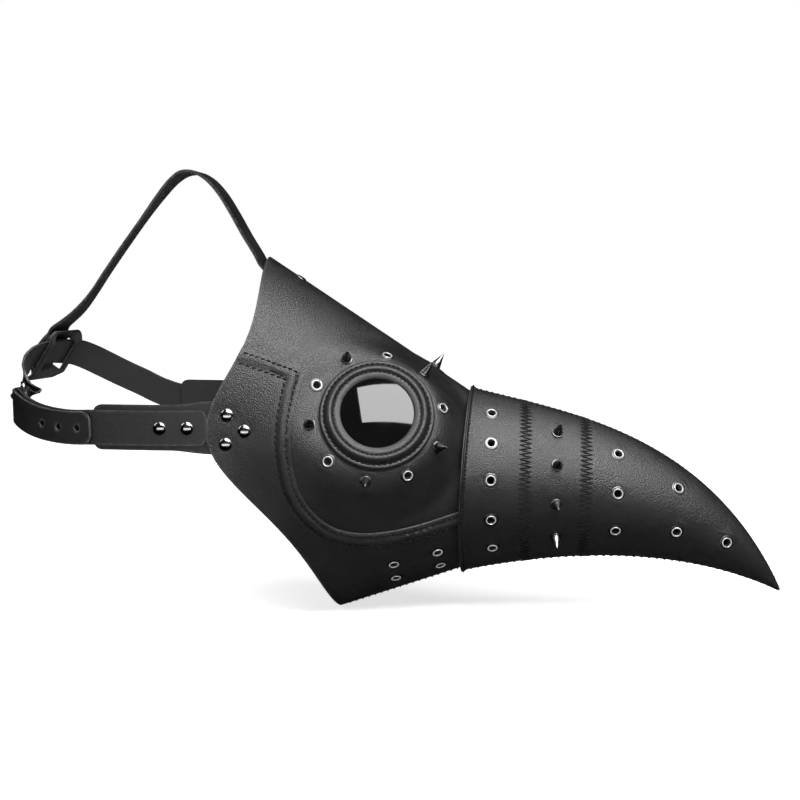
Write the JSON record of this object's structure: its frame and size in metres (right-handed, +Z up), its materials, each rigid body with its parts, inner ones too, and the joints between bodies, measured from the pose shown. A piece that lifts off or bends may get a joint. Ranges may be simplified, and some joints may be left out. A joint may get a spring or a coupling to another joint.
{
  "type": "plague doctor mask",
  "caption": "Black leather bird-beak costume mask with padded round goggles, studded beak, and a buckled head strap with a strap over the crown.",
  "frame": {"origin": "on the middle plane, midway between the two lenses, where the wearer's nose bridge is (mount head_seat)", "axes": "+X forward along the beak, +Y the wearer's left, +Z up"},
  "size_m": [0.4936, 0.1675, 0.2827],
  "materials": {
    "mask_leather": "black pebble-grain faux leather, satin",
    "goggle_leather": "black padded faux leather, satin",
    "strap_leather": "black strap leather with cut edges",
    "lens": "dark tinted glossy plastic",
    "lens_retainer": "black matt plastic",
    "eyelet_nickel": "polished nickel",
    "washer_steel": "plain steel",
    "spike_gunmetal": "dark polished gunmetal",
    "rivet_chrome": "polished chrome dome",
    "buckle_chrome": "polished nickel-plated wire"
  },
  "bodies": {
    "root": {"eye_panel": "mask_leather", "cheek_panel_right": "mask_leather", "cheek_panel_left": "mask_leather", "beak_base_panel_right": "mask_leather", "beak_base_panel_left": "mask_leather", "beak_middle_panel_right": "mask_leather", "beak_middle_panel_left": "mask_leather", "beak_tip_panel_right": "mask_leather", "beak_tip_panel_left": "mask_leather", "goggle_ring_right": "goggle_leather", "goggle_ring_left": "goggle_leather", "lens_right": "lens", "lens_left": "lens", "lens_retainer_right": "lens_retainer", "lens_retainer_left": "lens_retainer", "eye_eyelets_right": "eyelet_nickel", "eye_eyelets_left": "eyelet_nickel", "beak_eyelets_right": "eyelet_nickel", "beak_eyelets_left": "eyelet_nickel", "chin_eyelets_right": "eyelet_nickel", "chin_eyelets_left": "eyelet_nickel", "eyelet_washers_right": "washer_steel", "eyelet_washers_left": "washer_steel", "eye_spikes_right": "spike_gunmetal", "eye_spikes_left": "spike_gunmetal", "beak_spikes_right": "spike_gunmetal", "beak_spikes_left": "spike_gunmetal", "spike_screws_right": "washer_steel", "spike_screws_left": "washer_steel", "cheek_rivets_right": "rivet_chrome", "cheek_rivets_left": "rivet_chrome", "strap_rivets_right": "rivet_chrome", "strap_rivets_left": "rivet_chrome", "forehead_rivet": "rivet_chrome", "strap_tab_right": "strap_leather", "strap_tab_left": "strap_leather", "buckle_strap": "strap_leather", "billet_strap": "strap_leather", "top_strap": "strap_leather"},
    "buckle_frame": {"buckle_frame": "buckle_chrome"},
    "buckle_prong": {"buckle_prong": "buckle_chrome"},
    "strap_keeper": {"strap_keeper": "strap_leather"}
  },
  "joints": [
    {"name": "buckle_swing", "type": "hinge", "parent": "root", "child": "buckle_frame", "pos_m": [-0.2335, -0.046, -0.001], "axis": [0, 0, 1], "range_deg": [0, 12]},
    {"name": "prong_lift", "type": "hinge", "parent": "buckle_frame", "child": "buckle_prong", "pos_m": [-0.2335, -0.046, -0.001], "axis": [0, 0, 1], "range_deg": [0, 8]},
    {"name": "keeper_slide", "type": "slide", "parent": "root", "child": "strap_keeper", "axis": [-0.1554, -0.9879, 0], "range_m": [-0.006, 0.003]}
  ]
}
